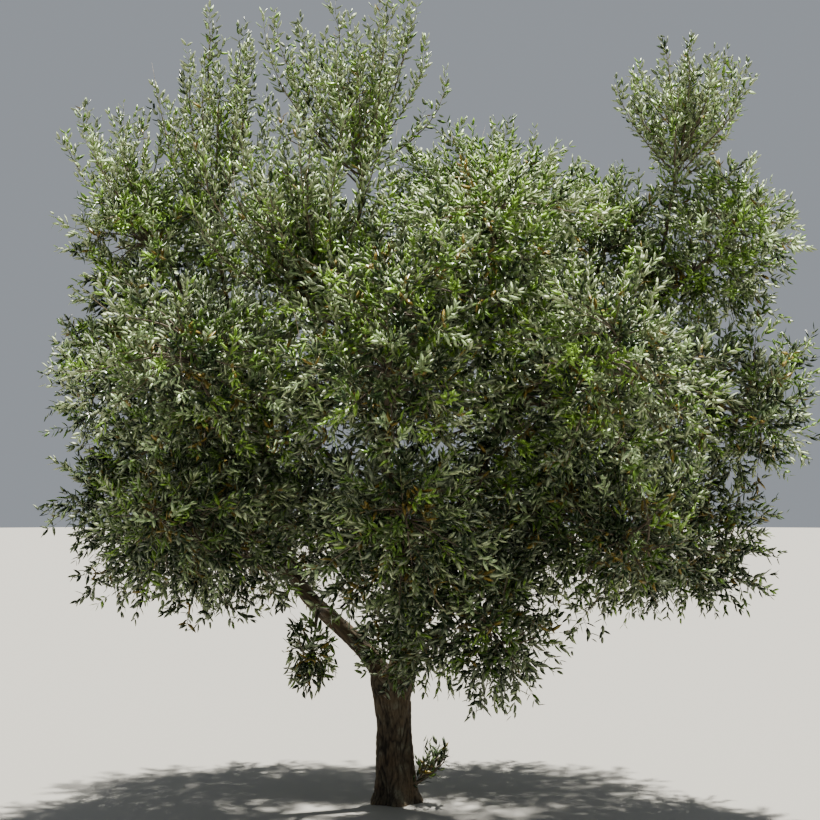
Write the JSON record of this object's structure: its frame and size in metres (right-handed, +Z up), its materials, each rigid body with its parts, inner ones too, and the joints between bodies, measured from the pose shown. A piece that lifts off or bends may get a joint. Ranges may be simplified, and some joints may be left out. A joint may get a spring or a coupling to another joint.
{
  "type": "olive tree",
  "caption": "Grown olive tree with a short flared trunk, a low fork into spreading boughs and an open crown of upright and drooping shoots with narrow grey-green leaves.",
  "frame": {"origin": "middle of the flat cut under the trunk, at ground level", "axes": "+Z up the trunk, +X to the right and +Y away as the tree is seen from the front"},
  "size_m": [4.1573, 3.4863, 4.4475],
  "materials": {
    "bark": "rough grey-brown fissured bark",
    "limb": "dull grey-brown younger bark",
    "foliage": "narrow leathery leaves, grey-green above and silvery below"
  },
  "bodies": {
    "root": {"trunk": "bark", "bough_left": "bark", "bough_right": "bark", "bough_back": "bark", "bough_centre": "bark", "bough_front": "bark", "limb_left_low": "limb", "limb_left_mid": "limb", "limb_left_high": "limb", "limb_left_shoots": "limb", "limb_centre_high": "limb", "limb_front_high": "limb", "limb_top_right": "limb", "limb_upper_right": "limb", "limb_shoulder": "limb", "limb_plume": "limb", "limb_right_mid": "limb", "limb_right_low": "limb", "limb_right_inner": "limb", "limb_front_left": "limb", "limb_lower_left": "limb", "limb_front_low": "limb", "limb_front_right": "limb", "limb_lower_right": "limb", "limb_hanging_left": "limb", "limb_back_left": "limb", "limb_back_right": "limb", "limb_back_low_left": "limb", "limb_back_low_right": "limb", "foliage_left_low": "foliage", "foliage_left_mid": "foliage", "foliage_left_high": "foliage", "foliage_left_shoots": "foliage", "foliage_top_left": "foliage", "foliage_centre_high": "foliage", "foliage_front_high": "foliage", "foliage_top_mid": "foliage", "foliage_top_right": "foliage", "foliage_upper_right": "foliage", "foliage_shoulder": "foliage", "foliage_plume": "foliage", "foliage_right_high": "foliage", "foliage_right_mid": "foliage", "foliage_right_low": "foliage", "foliage_right_inner": "foliage", "foliage_front_centre": "foliage", "foliage_front_left": "foliage", "foliage_lower_left": "foliage", "foliage_front_low": "foliage", "foliage_front_right": "foliage", "foliage_lower_right": "foliage", "foliage_hanging_left": "foliage", "foliage_fork_shoots": "foliage", "foliage_base_sucker": "foliage", "foliage_back_left": "foliage", "foliage_back_centre": "foliage", "foliage_back_right": "foliage", "foliage_back_low_left": "foliage", "foliage_back_low_right": "foliage"}
  },
  "joints": []
}
